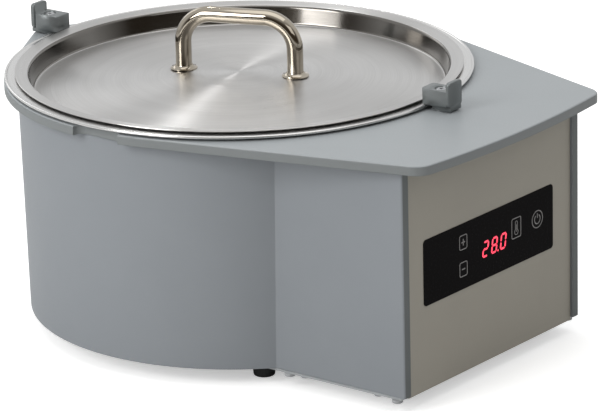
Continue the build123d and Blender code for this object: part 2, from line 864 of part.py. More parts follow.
with BuildPart() as standoffs:
    with BuildSketch(level(base_top)):
        with Locations((0, board_y)):
            with GridLocations(*board_spacing, 2, 2):
                RegularPolygon(standoff_radius, 6)
    extrude(amount=board_height - base_top)
standoffs.part.label = "board_standoffs"
export_step(standoffs.part, "parts/board_standoffs.step")

with BuildPart() as power_board:
    with BuildSketch(level(board_height)):
        with Locations((0, board_y)):
            RectangleRounded(*power_board_size, 2)
            with GridLocations(*board_spacing, 2, 2):
                Circle(board_hole_radius, mode=Mode.SUBTRACT)
    extrude(amount=board_thickness)
power_board.part.label = "power_board"
export_step(power_board.part, "parts/power_board.step")

with BuildPart() as transformer:
    with BuildSketch(level(board_top)):
        with Locations((transformer_x, board_y)):
            Rectangle(core_size[0], core_size[1])
    extrude(amount=core_size[2])
    with BuildSketch(level(board_top + winding_lift)):
        with Locations((transformer_x, board_y)):
            RectangleRounded(winding_size[0], winding_size[1], 3)
    extrude(amount=winding_size[2])
transformer.part.label = "transformer"
export_step(transformer.part, "parts/transformer.step")

with BuildPart() as relay:
    with BuildSketch(level(board_top)):
        with Locations(relay_place):
            RectangleRounded(relay_size[0], relay_size[1], 1)
    extrude(amount=relay_size[2])
    fillet(relay.edges().group_by(Axis.Z)[-1], 0.6)
relay.part.label = "relay"
export_step(relay.part, "parts/relay.step")

with BuildPart() as capacitors:
    with BuildSketch(level(board_top)):
        with Locations(*can_places):
            Circle(can_radius)
    extrude(amount=can_height)
    fillet(capacitors.edges().group_by(Axis.Z)[-1], 0.8)
capacitors.part.label = "capacitors"
export_step(capacitors.part, "parts/capacitors.step")

with BuildPart() as heat_sink:
    with BuildSketch(level(board_top)):
        with Locations((sink_x, board_y)):
            Rectangle(*sink_back)
            with GridLocations(fin_pitch, 0, fin_count, 1):
                Rectangle(*fin_size, align=(Align.CENTER, Align.MIN))
    extrude(amount=sink_height)
heat_sink.part.label = "heat_sink"
export_step(heat_sink.part, "parts/heat_sink.step")

with BuildPart() as triac:
    with BuildSketch(level(board_top + triac_lift)):
        with Locations((sink_x, board_y - (sink_back[1] + triac_size[1]) / 2)):
            Rectangle(triac_size[0], triac_size[1])
    extrude(amount=triac_size[2])
triac.part.label = "triac"
export_step(triac.part, "parts/triac.step")

with BuildPart() as terminal_block:
    with BuildSketch(level(board_top)):
        with Locations(terminal_place):
            Rectangle(terminal_size[0], terminal_size[1])
    extrude(amount=terminal_size[2])
    outer_edge = terminal_block.edges().group_by(Axis.Z)[-1].filter_by(Axis.Y).sort_by(Axis.X)[-1]
    chamfer(outer_edge, terminal_chamfer)
terminal_block.part.label = "terminal_block"
export_step(terminal_block.part, "parts/terminal_block.step")

# ---------------------------------------------------------------- mains inlet in the right-hand wall
inlet_flange = (50.0, 24.0)
inlet_flange_thickness = 3.0
inlet_body = (27.0, 19.4)
inlet_body_depth = 16.0
cavity_size = (23.0, 15.4)
cavity_depth = 15.0
pin_size = (2.0, 4.0)
pin_places = [(-7.0, -2.0), (7.0, -2.0), (0.0, 2.0)]
pin_recess = 4.5
inlet_screw_radius = 1.5
inlet_screw_length = 12.0
inlet_head_radius = 2.8
inlet_head_height = 1.6
inlet_face = inlet_plane.offset(inlet_flange_thickness)

with BuildPart() as inlet:
    with BuildSketch(inlet_plane):
        RectangleRounded(*inlet_flange, 4)
        with GridLocations(inlet_screw_spacing, 0, 2, 1):
            Circle(inlet_hole_radius, mode=Mode.SUBTRACT)
    extrude(amount=inlet_flange_thickness)
    with BuildSketch(inlet_plane):
        RectangleRounded(*inlet_body, 2)
    extrude(amount=-inlet_body_depth)
    with BuildSketch(inlet_face):
        RectangleRounded(*cavity_size, 2)
    extrude(amount=-cavity_depth, mode=Mode.SUBTRACT)
inlet.part.label = "mains_inlet"
export_step(inlet.part, "parts/mains_inlet.step")

with BuildPart() as inlet_pins:
    with BuildSketch(inlet_face.offset(-cavity_depth)):
        with Locations(*pin_places):
            Rectangle(*pin_size)
    extrude(amount=cavity_depth - pin_recess)
inlet_pins.part.label = "inlet_pins"
export_step(inlet_pins.part, "parts/inlet_pins.step")

with BuildPart() as inlet_screws:
    with BuildSketch(inlet_face.offset(-inlet_screw_length)):
        with GridLocations(inlet_screw_spacing, 0, 2, 1):
            Circle(inlet_screw_radius)
    extrude(amount=inlet_screw_length)
    with BuildSketch(inlet_face):
        with GridLocations(inlet_screw_spacing, 0, 2, 1):
            Circle(inlet_head_radius)
    extrude(amount=inlet_head_height)
inlet_screws.part.label = "inlet_screws"
export_step(inlet_screws.part, "parts/inlet_screws.step")

earth_place = (95.0, -210.0)
earth_stud_radius = 2.0
earth_stud_length = 9.0
with BuildPart() as earth_stud:
    with BuildSketch(level(base_top)):
        with Locations(earth_place):
            RegularPolygon(nut_radius, 6)
    extrude(amount=nut_height)
    with BuildSketch(level(base_top + nut_height)):
        with Locations(earth_place):
            Circle(earth_stud_radius)
    extrude(amount=earth_stud_length)
earth_stud.part.label = "earth_stud"
export_step(earth_stud.part, "parts/earth_stud.step")

print("pan axis y", round(pan_y, 3))
for place, heading in clamp_headings.items():
    pivot_x, pivot_y = around(clamp_pivot_radius, heading)
    print("clamp", place, round(pivot_x, 3), round(pan_y + pivot_y, 3))
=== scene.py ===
import bpy
import bmesh
import json
import math
from mathutils import Matrix, Vector


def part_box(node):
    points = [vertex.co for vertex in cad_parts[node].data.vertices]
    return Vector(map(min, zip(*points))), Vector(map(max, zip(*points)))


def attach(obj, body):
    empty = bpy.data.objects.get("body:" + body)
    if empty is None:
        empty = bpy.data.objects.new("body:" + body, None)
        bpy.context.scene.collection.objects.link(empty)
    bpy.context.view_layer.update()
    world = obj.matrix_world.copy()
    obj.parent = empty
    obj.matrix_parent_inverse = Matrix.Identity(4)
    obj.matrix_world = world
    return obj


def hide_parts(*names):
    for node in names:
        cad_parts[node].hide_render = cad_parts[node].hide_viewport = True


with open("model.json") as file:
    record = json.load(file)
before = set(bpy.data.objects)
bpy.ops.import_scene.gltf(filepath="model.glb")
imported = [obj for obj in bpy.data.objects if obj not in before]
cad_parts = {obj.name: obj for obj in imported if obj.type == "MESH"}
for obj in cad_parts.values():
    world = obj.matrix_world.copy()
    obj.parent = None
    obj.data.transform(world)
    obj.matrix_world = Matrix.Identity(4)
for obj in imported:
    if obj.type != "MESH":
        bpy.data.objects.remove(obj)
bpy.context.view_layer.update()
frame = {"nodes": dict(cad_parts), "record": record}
nodes = frame["nodes"]
print("frame loaded:", len(nodes), "nodes")

scene = bpy.context.scene
panLow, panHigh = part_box("pan")
panMiddle = (panLow + panHigh) / 2
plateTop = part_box("top_plate")[1].z
mm = 0.001

# camera, light and floor; angles in degrees, lengths in metres, but lens and sensor in millimetres

cameraLook = {
    "azimuth": -50.615,      # round the object, 0 looks along +Y
    "elevation": 18.841,
    "roll": -1.398,
    "distance": 3.514,
    "lens": 247.52,
    "sensor": 36,
    "farthest": 60,
    "besidePan": 0.0515,     # the view is centred this far right of the pan's axis
    "belowPan": 0.116,
}

studioLook = {
    "overhead": {"azimuth": 20, "elevation": 84, "distance": 1.9, "width": 1.7, "height": 1.7, "power": 8},
    # a small lamp, which draws the bright fan across the turned lid
    "streak": {"azimuth": 146.6, "elevation": 52.2, "distance": 2.4, "width": 0.11, "height": 0.11,
               "power": 1.9},
    "left": {"azimuth": -99, "elevation": 27, "distance": 2.2, "width": 0.9, "height": 1.2, "power": 28},
    "front": {"azimuth": -14, "elevation": 30, "distance": 2.6, "width": 1.4, "height": 1.0, "power": 4.6},
    "rear": {"azimuth": 165, "elevation": 25, "distance": 2.4, "width": 0.7, "height": 1.2, "power": 3},
}

skyLook = {
    "strength": 0.85,
    "dimHeading": -50,        # the studio is dim low down on this side
    "dimFrom": 0.0,           # lean that way at which the dimness starts
    "dimFull": 0.45,          # and at which it is full
    "bright": [               # height of the direction from 0 below to 1 above, colour
        (0.00, (0.60, 0.60, 0.60)),
        (0.48, (0.70, 0.70, 0.70)),
        (0.52, (0.92, 0.93, 0.94)),
        (1.00, (1.0, 1.0, 1.0)),
    ],
    "dim": [
        (0.00, (0.40, 0.39, 0.38)),
        (0.47, (0.26, 0.24, 0.21)),
        (0.53, (0.070, 0.056, 0.040)),
        (0.72, (0.10, 0.085, 0.068)),
        (0.88, (0.62, 0.61, 0.60)),
        (1.00, (1.0, 1.0, 1.0)),
    ],
}

# bounce is the shade that only mirrors and bounced light meet
floorLook = {"half": 9.0, "shade": 0.9, "warmth": 0.99, "bounce": 0.72, "glow": 0.45, "roughness": 0.9,
             "gloss": 0.1, "mottle": {"Scale": 2.0, "Seed": 5.0}}


def heading(azimuth, elevation):
    a, e = math.radians(azimuth), math.radians(elevation)
    return Vector((math.sin(a) * math.cos(e), -math.cos(a) * math.cos(e), math.sin(e)))


def makeCamera(look):
    back = heading(look["azimuth"], look["elevation"])
    level = Vector((0, 0, 1)).cross(back).normalized()
    up = back.cross(level)
    r = math.radians(look["roll"])
    right = math.cos(r) * level + math.sin(r) * up
    above = math.cos(r) * up - math.sin(r) * level
    aim = Vector((panMiddle.x, panMiddle.y, plateTop))
    aim += look["besidePan"] * right - look["belowPan"] * above
    data = bpy.data.cameras.new("camera")
    data.lens = look["lens"]
    data.sensor_width = look["sensor"]
    data.clip_end = look["farthest"]
    camera = bpy.data.objects.new("camera", data)
    scene.collection.objects.link(camera)
    turn = Matrix((right, above, back)).transposed().to_4x4()
    camera.matrix_world = Matrix.Translation(aim + look["distance"] * back) @ turn
    scene.camera = camera


def makeSoftbox(name, look):
    data = bpy.data.lights.new(name, "AREA")
    data.shape = "RECTANGLE"
    data.size, data.size_y = look["width"], look["height"]
    data.energy = look["power"]
    lamp = bpy.data.objects.new(name, data)
    scene.collection.objects.link(lamp)
    back = heading(look["azimuth"], look["elevation"])
    lamp.location = panMiddle + look["distance"] * back
    lamp.rotation_mode = "QUATERNION"
    lamp.rotation_quaternion = (-back).to_track_quat("-Z", "Y")


# node helpers


def put(tree, kind, sockets=None, **settings):
    node = tree.nodes.new(kind)
    for name, value in settings.items():
        setattr(node, name, value)
    for name, value in (sockets or {}).items():
        if isinstance(value, bpy.types.NodeSocket):
            tree.links.new(value, node.inputs[name])
        else:
            node.inputs[name].default_value = value
    return node


# a mix node takes colours at sockets 6 and 7 and plain values at 2 and 3
def mixColours(tree, share, first, second):
    return put(tree, "ShaderNodeMix", {0: share, 6: first, 7: second}, data_type="RGBA").outputs[2]


def mixValues(tree, share, first, second):
    return put(tree, "ShaderNodeMix", {0: share, 2: first, 3: second}).outputs[0]


def mapValue(tree, value, low, high, newLow, newHigh):
    sockets = {"Value": value, "From Min": low, "From Max": high, "To Min": newLow, "To Max": newHigh}
    return put(tree, "ShaderNodeMapRange", sockets).outputs[0]


def calculate(tree, operation, first, second=0.0):
    return put(tree, "ShaderNodeMath", {0: first, 1: second}, operation=operation).outputs[0]


def combine(tree, operation, first, second):
    return put(tree, "ShaderNodeVectorMath", {0: first, 1: second}, operation=operation).outputs[0]


def opaque(colour):
    return (*colour, 1)


def grey(shade):
    return (shade, shade, shade, 1)


def skyRamp(tree, share, stops):
    ramp = put(tree, "ShaderNodeValToRGB", {0: share})
    bands = ramp.color_ramp.elements
    while len(bands) < len(stops):
        bands.new(0.5)
    for band, (place, colour) in zip(bands, stops):
        band.position = place
        band.color = opaque(colour)
    return ramp.outputs[0]


def makeSky(look):
    world = bpy.data.worlds.new("studio")
    scene.world = world
    world.use_nodes = True
    tree = world.node_tree
    tree.nodes.clear()
    where = put(tree, "ShaderNodeTexCoord").outputs["Generated"]
    height = put(tree, "ShaderNodeSeparateXYZ", {0: where}).outputs["Z"]
    share = mapValue(tree, height, -1.0, 1.0, 0.0, 1.0)
    toward = put(tree, "ShaderNodeVectorMath", {0: where, 1: heading(look["dimHeading"], 0)},
                 operation="DOT_PRODUCT").outputs["Value"]
    dimShare = mapValue(tree, toward, look["dimFrom"], look["dimFull"], 0.0, 1.0)
    bright, dim = (skyRamp(tree, share, look[part]) for part in ("bright", "dim"))
    colour = mixColours(tree, dimShare, bright, dim)
    lit = put(tree, "ShaderNodeBackground", {"Color": colour, "Strength": look["strength"]})
    plain = put(tree, "ShaderNodeBackground", {"Color": grey(1), "Strength": 1.0})
    seen = put(tree, "ShaderNodeLightPath").outputs["Is Camera Ray"]
    both = put(tree, "ShaderNodeMixShader", {0: seen, 1: lit.outputs[0], 2: plain.outputs[0]})
    put(tree, "ShaderNodeOutputWorld", {"Surface": both.outputs[0]})


# shader groups shared by several finishes

noiseMiddle = (0.3, 0.7)     # the part of a noise's range that holds nearly all its values

maskLook = {
    "upright": (0.75, 0.35),      # rise of the normal where a face starts to be upright, and is so
    "frontal": (-0.96, -0.995),   # its Y where a face starts to look forward, and does so
    "turned": (0.98, 0.80),       # likeness of flat and rounded normals where edge wear and painted highlight start, and are full
    "breakup": (0.35, 0.6, 0.35, 1.0),   # noise from and to, share of the wear and painted highlight left there
    "bevelSamples": 6,
}


def newGroup(name, inputs, outputs):
    tree = bpy.data.node_groups.new(name, "ShaderNodeTree")
    for label, kind, value in inputs:
        socket = tree.interface.new_socket(name=label, in_out="INPUT", socket_type=kind)
        socket.default_value = value
    for label, kind in outputs:
        tree.interface.new_socket(name=label, in_out="OUTPUT", socket_type=kind)
    return tree, tree.nodes.new("NodeGroupInput").outputs, tree.nodes.new("NodeGroupOutput").inputs


def makeGrainGroup():
    # fine grain of a painted or cast surface
    tree, given, made = newGroup(
        "fineGrain",
        [("Scale", "NodeSocketFloat", 900.0), ("Pebble", "NodeSocketFloat", 0.5)],
        [("Value", "NodeSocketFloat"), ("Height", "NodeSocketFloat")],
    )
    where = put(tree, "ShaderNodeTexCoord").outputs["Object"]
    noise = put(tree, "ShaderNodeTexNoise", {"Vector": where, "Scale": given["Scale"], "Detail": 2.0})
    cells = put(tree, "ShaderNodeTexVoronoi", {"Vector": where, "Scale": given["Scale"]}, feature="SMOOTH_F1")
    height = mixValues(tree, given["Pebble"], noise.outputs["Fac"], cells.outputs["Distance"])
    tree.links.new(noise.outputs["Fac"], made["Value"])
    tree.links.new(height, made["Height"])
    return tree


def makeMottleGroup():
    # slow clouding, with masks for the faces that stand upright and for those that face the front, on which
    # painted shade is laid
    tree, given, made = newGroup(
        "softMottle",
        [("Scale", "NodeSocketFloat", 9.0), ("Seed", "NodeSocketFloat", 0.0)],
        [("Value", "NodeSocketFloat"), ("UprightShade", "NodeSocketFloat"), ("FrontShade", "NodeSocketFloat")],
    )
    where = put(tree, "ShaderNodeTexCoord").outputs["Object"]
    cloud = put(tree, "ShaderNodeTexNoise", {"Vector": where, "W": given["Seed"], "Scale": given["Scale"],
                                             "Detail": 4.0, "Roughness": 0.6}, noise_dimensions="4D")
    normal = put(tree, "ShaderNodeNewGeometry").outputs["Normal"]
    faced = put(tree, "ShaderNodeSeparateXYZ", {0: normal}).outputs
    steep = calculate(tree, "ABSOLUTE", faced["Z"])
    tree.links.new(mapValue(tree, cloud.outputs["Fac"], *noiseMiddle, 0.0, 1.0), made["Value"])
    tree.links.new(mapValue(tree, steep, *maskLook["upright"], 0.0, 1.0), made["UprightShade"])
    tree.links.new(mapValue(tree, faced["Y"], *maskLook["frontal"], 0.0, 1.0), made["FrontShade"])
    return tree


def makeEdgeGroup():
    # a mask along the edges for wear and a painted highlight, and a normal that rounds them
    tree, given, made = newGroup(
        "softEdges",
        [("Radius", "NodeSocketFloat", 0.001), ("Breakup", "NodeSocketFloat", 60.0)],
        [("Mask", "NodeSocketFloat"), ("Normal", "NodeSocketVector")],
    )
    where = put(tree, "ShaderNodeTexCoord").outputs["Object"]
    rounded = put(tree, "ShaderNodeBevel", {"Radius": given["Radius"]},
                  samples=maskLook["bevelSamples"]).outputs[0]
    flat = put(tree, "ShaderNodeNewGeometry").outputs["Normal"]
    alike = put(tree, "ShaderNodeVectorMath", {0: rounded, 1: flat},
                operation="DOT_PRODUCT").outputs["Value"]
    turned = mapValue(tree, alike, *maskLook["turned"], 0.0, 1.0)
    noise = put(tree, "ShaderNodeTexNoise", {"Vector": where, "Scale": given["Breakup"], "Detail": 3.0})
    broken = mapValue(tree, noise.outputs["Fac"], *maskLook["breakup"])
    tree.links.new(calculate(tree, "MULTIPLY", turned, broken), made["Mask"])
    tree.links.new(rounded, made["Normal"])
    return tree


def makeRingGroup():
    # marks that run round an upright axis, as a turning tool leaves them
    tree, given, made = newGroup(
        "turningMarks",
        [("Middle", "NodeSocketVector", (0, 0, 0)), ("Density", "NodeSocketFloat", 900.0),
         ("Bands", "NodeSocketFloat", 70.0), ("Drift", "NodeSocketFloat", 1.0)],
        [("Value", "NodeSocketFloat"), ("Broad", "NodeSocketFloat"), ("Height", "NodeSocketFloat")],
    )
    where = put(tree, "ShaderNodeTexCoord").outputs["Object"]
    away = combine(tree, "SUBTRACT", where, given["Middle"])
    flat = combine(tree, "MULTIPLY", away, (1, 1, 0))
    reach = put(tree, "ShaderNodeVectorMath", {0: flat}, operation="LENGTH").outputs["Value"]
    around = put(tree, "ShaderNodeVectorMath", {0: flat}, operation="NORMALIZE").outputs[0]
    drift = put(tree, "ShaderNodeVectorMath", {0: around, "Scale": given["Drift"]},
                operation="SCALE").outputs[0]
    sides = put(tree, "ShaderNodeSeparateXYZ", {0: drift}).outputs
    fine = put(tree, "ShaderNodeCombineXYZ",
               {"X": sides["X"], "Y": sides["Y"], "Z": calculate(tree, "MULTIPLY", reach, given["Density"])})
    wide = put(tree, "ShaderNodeCombineXYZ",
               {"X": sides["X"], "Y": sides["Y"], "Z": calculate(tree, "MULTIPLY", reach, given["Bands"])})
    thin, broad = (put(tree, "ShaderNodeTexNoise",
                       {"Vector": place.outputs[0], "Scale": 1.0, "Detail": detail}).outputs["Fac"]
                   for place, detail in ((fine, 3.0), (wide, 2.0)))
    tree.links.new(mapValue(tree, thin, *noiseMiddle, 0.0, 1.0), made["Value"])
    tree.links.new(mapValue(tree, broad, *noiseMiddle, 0.0, 1.0), made["Broad"])
    tree.links.new(thin, made["Height"])
    return tree


grainGroup = makeGrainGroup()
mottleGroup = makeMottleGroup()
edgeGroup = makeEdgeGroup()
ringGroup = makeRingGroup()


def placed(tree, group, sockets):
    node = put(tree, "ShaderNodeGroup", None, node_tree=group)
    for name, value in sockets.items():
        node.inputs[name].default_value = value
    return node.outputs


def newMaterial(name):
    material = bpy.data.materials.new(name)
    material.use_nodes = True
    tree = material.node_tree
    tree.nodes.clear()
    surface = put(tree, "ShaderNodeBsdfPrincipled")
    put(tree, "ShaderNodeOutputMaterial", {"Surface": surface.outputs[0]})
    return material, tree, surface.inputs


# finishes: colour and shade are the two ends of the mottling, edge is the colour of worn edges that also
# paints a highlight along them, front is painted shade on faces that look forward and side is painted shade
# on upright ones; edgeRadius is in millimetres, and depth is the strength of the grain

finishLooks = {
    "housing": {"colour": (0.236, 0.254, 0.272), "shade": (0.222, 0.240, 0.258), "edge": (0.33, 0.35, 0.37),
                # front is painted shade: faces of the housing that look forward are made darker
                "front": (0.105, 0.118, 0.118),
                "roughness": (0.42, 0.52), "grain": 1500, "depth": 0.05, "edgeRadius": 1.2},
    "plate": {"colour": (0.318, 0.340, 0.352), "shade": (0.300, 0.322, 0.334), "edge": (0.35, 0.37, 0.38),
              # side is painted shade: the plate's upright edge faces are made darker
              "side": (0.178, 0.192, 0.194),
              "roughness": (0.38, 0.50), "grain": 1500, "depth": 0.05, "edgeRadius": 0.9},
    "panelPaint": {"colour": (0.345, 0.325, 0.277), "shade": (0.325, 0.306, 0.262),
                   "edge": (0.34, 0.32, 0.29),
                   "roughness": (0.55, 0.66), "grain": 2200, "depth": 0.08, "edgeRadius": 0.3},
    "buttonMetal": {"colour": (0.190, 0.205, 0.206), "shade": (0.150, 0.163, 0.165),
                    "edge": (0.30, 0.32, 0.32),
                    "roughness": (0.30, 0.45), "grain": 1100, "depth": 0.12,
                    "edgeRadius": 0.3, "metallic": 0.45},
    "screwSteel": {"colour": (0.50, 0.51, 0.52), "shade": (0.38, 0.39, 0.40), "edge": (0.75, 0.76, 0.78),
                   "roughness": (0.22, 0.38), "grain": 1800, "depth": 0.05,
                   "edgeRadius": 0.35, "metallic": 1.0},
    "overlayBlack": {"colour": (0.0055, 0.0050, 0.0052), "shade": (0.0075, 0.0068, 0.0070),
                     "edge": (0.03, 0.03, 0.03),
                     "roughness": (0.20, 0.30), "grain": 500, "depth": 0.01,
                     "edgeRadius": 0.3, "gloss": 0.015},
    "keyBlack": {"colour": (0.0065, 0.0060, 0.0062), "shade": (0.009, 0.0085, 0.0088),
                 "edge": (0.05, 0.05, 0.05),
                 "roughness": (0.20, 0.30), "grain": 700, "depth": 0.02, "edgeRadius": 0.3, "gloss": 0.015},
    "legendInk": {"colour": (0.30, 0.29, 0.285), "shade": (0.22, 0.212, 0.21), "edge": (0.2, 0.2, 0.2),
                  "roughness": (0.5, 0.6), "grain": 3000, "depth": 0.02, "edgeRadius": 0.05},
    "displayWindow": {"colour": (0.020, 0.003, 0.004), "shade": (0.030, 0.004, 0.006),
                      "edge": (0.05, 0.01, 0.01),
                      "roughness": (0.10, 0.18), "grain": 500, "depth": 0.01, "edgeRadius": 0.3},
    "baseMetal": {"colour": (0.50, 0.52, 0.53), "shade": (0.42, 0.44, 0.45), "edge": (0.65, 0.67, 0.68),
                  "roughness": (0.35, 0.5), "grain": 700, "depth": 0.06, "edgeRadius": 0.4, "metallic": 0.6},
    "padGrey": {"colour": (0.42, 0.43, 0.44), "shade": (0.34, 0.35, 0.36), "edge": (0.5, 0.5, 0.5),
                "roughness": (0.5, 0.65), "grain": 1600, "depth": 0.1, "edgeRadius": 0.4},
    "footRubber": {"colour": (0.018, 0.020, 0.019), "shade": (0.030, 0.032, 0.031),
                   "edge": (0.06, 0.06, 0.06),
                   "roughness": (0.62, 0.78), "grain": 1300, "depth": 0.2, "edgeRadius": 0.6},
    # painted shadow: the seal under the pan's flange is made near black to stand for the shaded gap there
    "sealSilicone": {"colour": (0.012, 0.012, 0.012), "shade": (0.018, 0.018, 0.018),
                     "edge": (0.03, 0.03, 0.03),
                     "roughness": (0.5, 0.6), "grain": 1000, "depth": 0.1, "edgeRadius": 0.3},
    "heaterSilicone": {"colour": (0.46, 0.10, 0.03), "shade": (0.38, 0.08, 0.025), "edge": (0.55, 0.16, 0.06),
                       "roughness": (0.5, 0.62), "grain": 500, "depth": 0.3, "edgeRadius": 0.4},
    "insulationFelt": {"colour": (0.74, 0.69, 0.58), "shade": (0.60, 0.55, 0.46), "edge": (0.8, 0.76, 0.66),
                       "roughness": (0.85, 0.95), "grain": 350, "depth": 1.2, "edgeRadius": 1.5},
    "spunAluminium": {"colour": (0.60, 0.61, 0.62), "shade": (0.48, 0.49, 0.50), "edge": (0.8, 0.8, 0.8),
                      "roughness": (0.3, 0.45), "grain": 600, "depth": 0.05,
                      "edgeRadius": 0.3, "metallic": 1.0},
    "boardGreen": {"colour": (0.018, 0.15, 0.05), "shade": (0.012, 0.10, 0.035), "edge": (0.35, 0.33, 0.18),
                   "roughness": (0.25, 0.4), "grain": 260, "depth": 0.15, "edgeRadius": 0.2},
    "partBlack": {"colour": (0.022, 0.022, 0.024), "shade": (0.034, 0.034, 0.036), "edge": (0.08, 0.08, 0.08),
                  "roughness": (0.42, 0.55), "grain": 1500, "depth": 0.12, "edgeRadius": 0.5},
    "coreIron": {"colour": (0.19, 0.17, 0.14), "shade": (0.12, 0.10, 0.08), "edge": (0.35, 0.32, 0.28),
                 "roughness": (0.35, 0.5), "grain": 800, "depth": 0.2, "edgeRadius": 0.3, "metallic": 0.5},
    "canBlue": {"colour": (0.02, 0.06, 0.17), "shade": (0.015, 0.045, 0.13), "edge": (0.1, 0.16, 0.3),
                "roughness": (0.2, 0.3), "grain": 500, "depth": 0.03, "edgeRadius": 0.4},
    "pinBrass": {"colour": (0.66, 0.53, 0.27), "shade": (0.52, 0.41, 0.20), "edge": (0.85, 0.75, 0.5),
                 "roughness": (0.22, 0.36), "grain": 900, "depth": 0.05, "edgeRadius": 0.2, "metallic": 1.0},
}

steelLooks = {
    "turnedSteel": {"colour": (0.615, 0.608, 0.598), "shade": (0.53, 0.522, 0.512), "roughness": (0.26, 0.38),
                    "anisotropic": 0.93, "density": 1500.0, "depth": 0.06},
    "panSteel": {"colour": (0.74, 0.735, 0.725), "shade": (0.65, 0.645, 0.635), "roughness": (0.20, 0.30),
                 "anisotropic": 0.45, "density": 900.0, "depth": 0.03},
    # painted shade: the lid's recess wall is a copy of the turned steel made much darker than the lid itself
    "shadedWallSteel": {"colour": (0.21, 0.20, 0.186), "shade": (0.16, 0.151, 0.139), "roughness": (0.10, 0.17),
                  "anisotropic": 0.35, "density": 700.0, "depth": 0.02},
}

polishedLook = {"colour": (0.46, 0.415, 0.345), "shade": (0.36, 0.318, 0.258), "roughness": (0.04, 0.08),
                "depth": 0.03, "grain": {"Scale": 2600.0, "Pebble": 0.0},
                "mottle": {"Scale": 30.0, "Seed": 8.0}}

litLook = {"colour": (0.90, 0.018, 0.055), "core": (1.0, 0.10, 0.16), "strength": 1.25, "roughness": 0.3,
           "mottle": {"Scale": 420.0, "Seed": 2.0}}

# how far broad rings colour the turned steel against thin ones, and how far clouds roughen it against rings
ringLook = {"broadShare": 0.6, "cloudShare": 0.35, "mottle": {"Scale": 14.0, "Seed": 3.0}}

grainRelief = 0.3 * mm       # what a bump of strength 1 stands for
steelRelief = 0.05 * mm
seedStep = 1.7               # the clouds' seed grows by this with each letter of the finish's name


def addBump(tree, surface, strength, relief, height, **more):
    bump = put(tree, "ShaderNodeBump", {"Strength": strength, "Distance": relief, "Height": height, **more})
    tree.links.new(bump.outputs[0], surface["Normal"])


def makeFinish(name, look):
    material, tree, surface = newMaterial(name)
    grain = placed(tree, grainGroup, {"Scale": look["grain"]})
    mottle = placed(tree, mottleGroup, {"Seed": len(name) * seedStep})
    edges = placed(tree, edgeGroup, {"Radius": look["edgeRadius"] * mm})
    colour = mixColours(tree, mottle["Value"], opaque(look["colour"]), opaque(look["shade"]))
    # edges made lighter, partly wear and partly a painted highlight
    colour = mixColours(tree, edges["Mask"], colour, opaque(look["edge"]))
    # painted shade on the faces that look forward
    if "front" in look:
        colour = mixColours(tree, mottle["FrontShade"], colour, opaque(look["front"]))
    # painted shade on the upright faces
    if "side" in look:
        colour = mixColours(tree, mottle["UprightShade"], colour, opaque(look["side"]))
    low, high = look["roughness"]
    tree.links.new(colour, surface["Base Color"])
    tree.links.new(mapValue(tree, grain["Value"], *noiseMiddle, low, high), surface["Roughness"])
    surface["Metallic"].default_value = look.get("metallic", 0.0)
    surface["Specular IOR Level"].default_value = look.get("gloss", 0.5)
    addBump(tree, surface, look["depth"], grainRelief, grain["Height"], Normal=edges["Normal"])
    return material


def makeTurnedSteel(name, look):
    material, tree, surface = newMaterial(name)
    rings = placed(tree, ringGroup, {"Middle": panMiddle, "Density": look["density"]})
    mottle = placed(tree, mottleGroup, ringLook["mottle"])
    thin = mapValue(tree, rings["Value"], 0.0, 1.0, 0.0, 1 - ringLook["broadShare"])
    share = put(tree, "ShaderNodeMath", {0: rings["Broad"], 1: ringLook["broadShare"], 2: thin},
                operation="MULTIPLY_ADD").outputs[0]
    colour = mixColours(tree, share, opaque(look["colour"]), opaque(look["shade"]))
    low, high = look["roughness"]
    shine = mixValues(tree, ringLook["cloudShare"], rings["Value"], mottle["Value"])
    tree.links.new(colour, surface["Base Color"])
    tree.links.new(mapValue(tree, shine, 0.0, 1.0, low, high), surface["Roughness"])
    surface["Metallic"].default_value = 1.0
    surface["Anisotropic"].default_value = look["anisotropic"]
    where = put(tree, "ShaderNodeTexCoord").outputs["Object"]
    away = combine(tree, "SUBTRACT", where, panMiddle)
    along = combine(tree, "CROSS_PRODUCT", (0, 0, 1), away)
    along = put(tree, "ShaderNodeVectorMath", {0: along}, operation="NORMALIZE").outputs[0]
    normal = put(tree, "ShaderNodeNewGeometry").outputs["Normal"]
    # across the marks, since the shine spreads that way
    tree.links.new(combine(tree, "CROSS_PRODUCT", normal, along), surface["Tangent"])
    addBump(tree, surface, look["depth"], steelRelief, rings["Height"])
    return material


def makePolishedSteel(name, look):
    material, tree, surface = newMaterial(name)
    mottle = placed(tree, mottleGroup, look["mottle"])
    grain = placed(tree, grainGroup, look["grain"])
    colour = mixColours(tree, mottle["Value"], opaque(look["colour"]), opaque(look["shade"]))
    low, high = look["roughness"]
    tree.links.new(colour, surface["Base Color"])
    tree.links.new(mapValue(tree, mottle["Value"], 0.0, 1.0, low, high), surface["Roughness"])
    surface["Metallic"].default_value = 1.0
    addBump(tree, surface, look["depth"], steelRelief, grain["Height"])
    return material


def makeLitSegments(look):
    material, tree, surface = newMaterial("litSegments")
    mottle = placed(tree, mottleGroup, look["mottle"])
    colour = mixColours(tree, mottle["Value"], opaque(look["colour"]), opaque(look["core"]))
    tree.links.new(colour, surface["Emission Color"])
    surface["Emission Strength"].default_value = look["strength"]
    surface["Base Color"].default_value = opaque(look["colour"])
    surface["Roughness"].default_value = look["roughness"]
    return material


